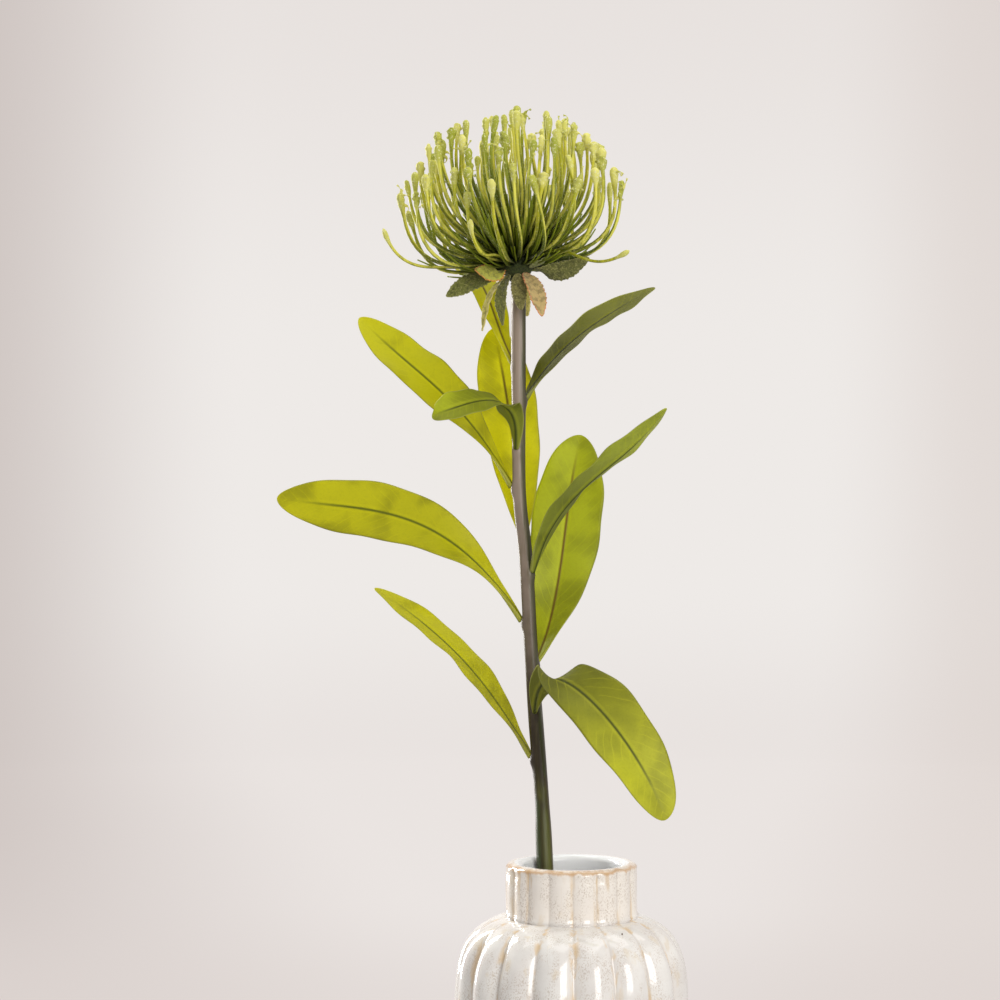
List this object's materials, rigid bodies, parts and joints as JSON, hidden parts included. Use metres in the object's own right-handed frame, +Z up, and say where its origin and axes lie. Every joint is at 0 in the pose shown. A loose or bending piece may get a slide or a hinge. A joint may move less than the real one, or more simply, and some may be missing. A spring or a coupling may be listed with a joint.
{
  "type": "protea flower",
  "caption": "Long-stemmed artificial pincushion protea, a green cushion of club-ended styles over felt bracts and long leaves, standing in a ribbed glazed stoneware bottle vase.",
  "frame": {"origin": "middle of the vase's flat foot, on the surface that it stands on", "axes": "+Z up, +Y away from the front, which faces -Y"},
  "size_m": [0.2107, 0.1592, 0.5821],
  "materials": {
    "glaze": "gloss",
    "stem": "satin",
    "receptacle": "matte",
    "style": "matte",
    "leaf": "satin",
    "bract": "matte"
  },
  "bodies": {
    "root": {"vase": "glaze", "stem": "stem", "receptacle": "receptacle", "style_sprig_01": "style", "style_sprig_02": "style", "style_sprig_03": "style", "style_sprig_04": "style", "style_sprig_05": "style", "style_sprig_06": "style", "style_sprig_07": "style", "style_sprig_08": "style", "style_sprig_09": "style", "style_sprig_10": "style", "style_sprig_11": "style", "style_sprig_12": "style", "style_sprig_13": "style", "style_sprig_14": "style", "style_sprig_15": "style", "style_sprig_16": "style", "style_sprig_17": "style", "style_sprig_18": "style", "style_sprig_19": "style", "style_sprig_20": "style", "style_sprig_21": "style", "stray_style_left": "style", "stray_style_right": "style", "stray_style_front": "style", "leaf_01": "leaf", "leaf_02": "leaf", "leaf_03": "leaf", "leaf_04": "leaf", "leaf_05": "leaf", "leaf_06": "leaf", "leaf_07": "leaf", "leaf_08": "leaf", "leaf_09": "leaf", "leaf_10": "leaf", "bract_01": "bract", "bract_02": "bract", "bract_03": "bract", "bract_04": "bract", "bract_05": "bract", "bract_06": "bract", "bract_07": "bract", "bract_08": "bract", "bract_09": "bract", "bract_10": "bract", "bract_11": "bract", "bract_12": "bract"}
  },
  "joints": []
}
